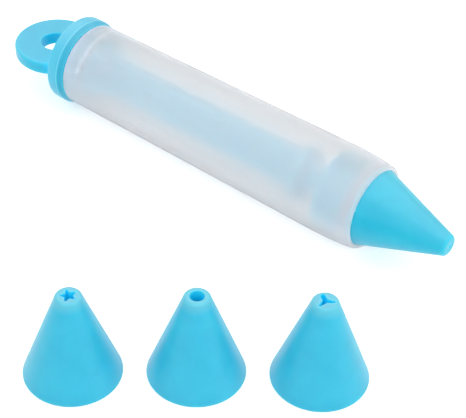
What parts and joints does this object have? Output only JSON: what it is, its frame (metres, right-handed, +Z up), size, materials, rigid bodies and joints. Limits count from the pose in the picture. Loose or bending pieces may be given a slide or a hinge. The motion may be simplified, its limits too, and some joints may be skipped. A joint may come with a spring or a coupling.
{
  "type": "cake decorating syringe",
  "caption": "Piping syringe for icing: translucent soft barrel, push rod with hanging loop, soft piston, snap-in cone nozzle and loose spare cones with star, round and slotted tips.",
  "frame": {"origin": "on the table, under the middle of the box round the lying syringe and its standing spare nozzles", "axes": "+X along the syringe from its hanging loop to the tip of its nozzle, +Z up, the spare nozzles stand on the -Y side"},
  "size_m": [0.1749, 0.1219, 0.0285],
  "materials": {
    "barrel": "frosted translucent silicone, satin",
    "tail_cap": "satin silicone",
    "plunger_rod": "moulded polypropylene, satin",
    "piston": "satin silicone",
    "nozzle": "satin silicone"
  },
  "bodies": {
    "barrel": {"barrel": "barrel", "star_nozzle": "nozzle", "round_nozzle": "nozzle", "three_slot_nozzle": "nozzle"},
    "piston": {"piston": "piston"},
    "plunger": {"plunger_rod": "plunger_rod", "tail_cap": "tail_cap"},
    "nozzle": {"writing_nozzle": "nozzle"}
  },
  "joints": [
    {"name": "plunger_draw", "type": "slide", "parent": "barrel", "child": "piston", "axis": [-1, 0, 0], "range_m": [0, 0.095]},
    {"name": "plunger_turn", "type": "hinge", "parent": "piston", "child": "plunger", "pos_m": [0.0416, 0.04676, 0.01425], "axis": [1, 0, 0], "continuous": true},
    {"name": "nozzle_turn", "type": "hinge", "parent": "barrel", "child": "nozzle", "pos_m": [0.052, 0.04676, 0.01425], "axis": [1, 0, 0], "continuous": true}
  ]
}
